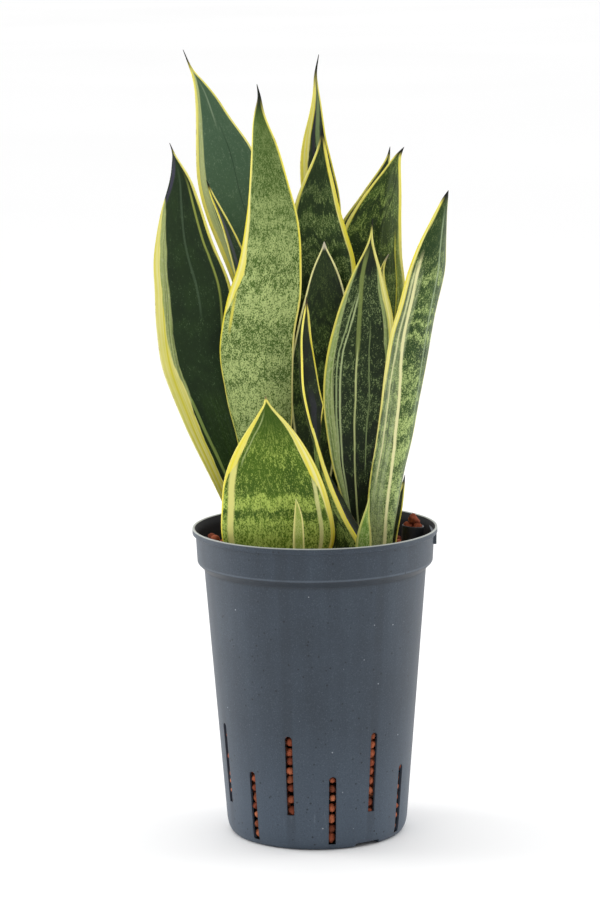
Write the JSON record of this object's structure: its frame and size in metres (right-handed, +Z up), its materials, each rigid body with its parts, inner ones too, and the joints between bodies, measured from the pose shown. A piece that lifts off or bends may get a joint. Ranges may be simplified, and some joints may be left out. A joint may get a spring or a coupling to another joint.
{
  "type": "potted snake plant",
  "caption": "Variegated snake plant with tall pointed leaves growing in expanded clay, in a tapered slotted hydroculture pot with a water gauge sleeve.",
  "frame": {"origin": "middle of the pot's underside, on the surface that it stands on", "axes": "+Z up along the pot's axis, the front of the plant toward -Y, its right toward +X"},
  "size_m": [0.1763, 0.1502, 0.479],
  "materials": {
    "pot_plastic": "satin, finely textured, slate grey outside",
    "sleeve_plastic": "satin black",
    "fired_clay": "dull, porous fired clay",
    "leaf": null,
    "young_leaf": null,
    "rhizome": null
  },
  "bodies": {
    "root": {"pot": "pot_plastic", "gauge_sleeve": "sleeve_plastic", "clay_bed": "fired_clay", "rhizome": "rhizome", "leaf_far_left": "leaf", "leaf_tall_back_left": "leaf", "leaf_tall_front_left": "leaf", "leaf_tall_back_middle": "leaf", "leaf_middle": "leaf", "leaf_back_right": "leaf", "leaf_behind_right": "leaf", "leaf_far_right": "leaf", "leaf_front_right": "leaf", "leaf_short_middle": "leaf", "leaf_folded": "leaf", "leaf_front_broad": "leaf", "leaf_small_behind": "leaf", "leaf_small_right": "leaf", "leaf_narrow_left": "leaf", "pup_front": "young_leaf", "pup_right": "young_leaf", "clay_pebble_1": "fired_clay", "clay_pebble_2": "fired_clay", "clay_pebble_3": "fired_clay", "clay_pebble_4": "fired_clay", "clay_pebble_5": "fired_clay", "clay_pebble_6": "fired_clay", "clay_pebble_7": "fired_clay", "clay_pebble_8": "fired_clay", "gauge_pebble_1": "fired_clay", "gauge_pebble_2": "fired_clay", "gauge_pebble_3": "fired_clay", "gauge_pebble_4": "fired_clay"}
  },
  "joints": []
}
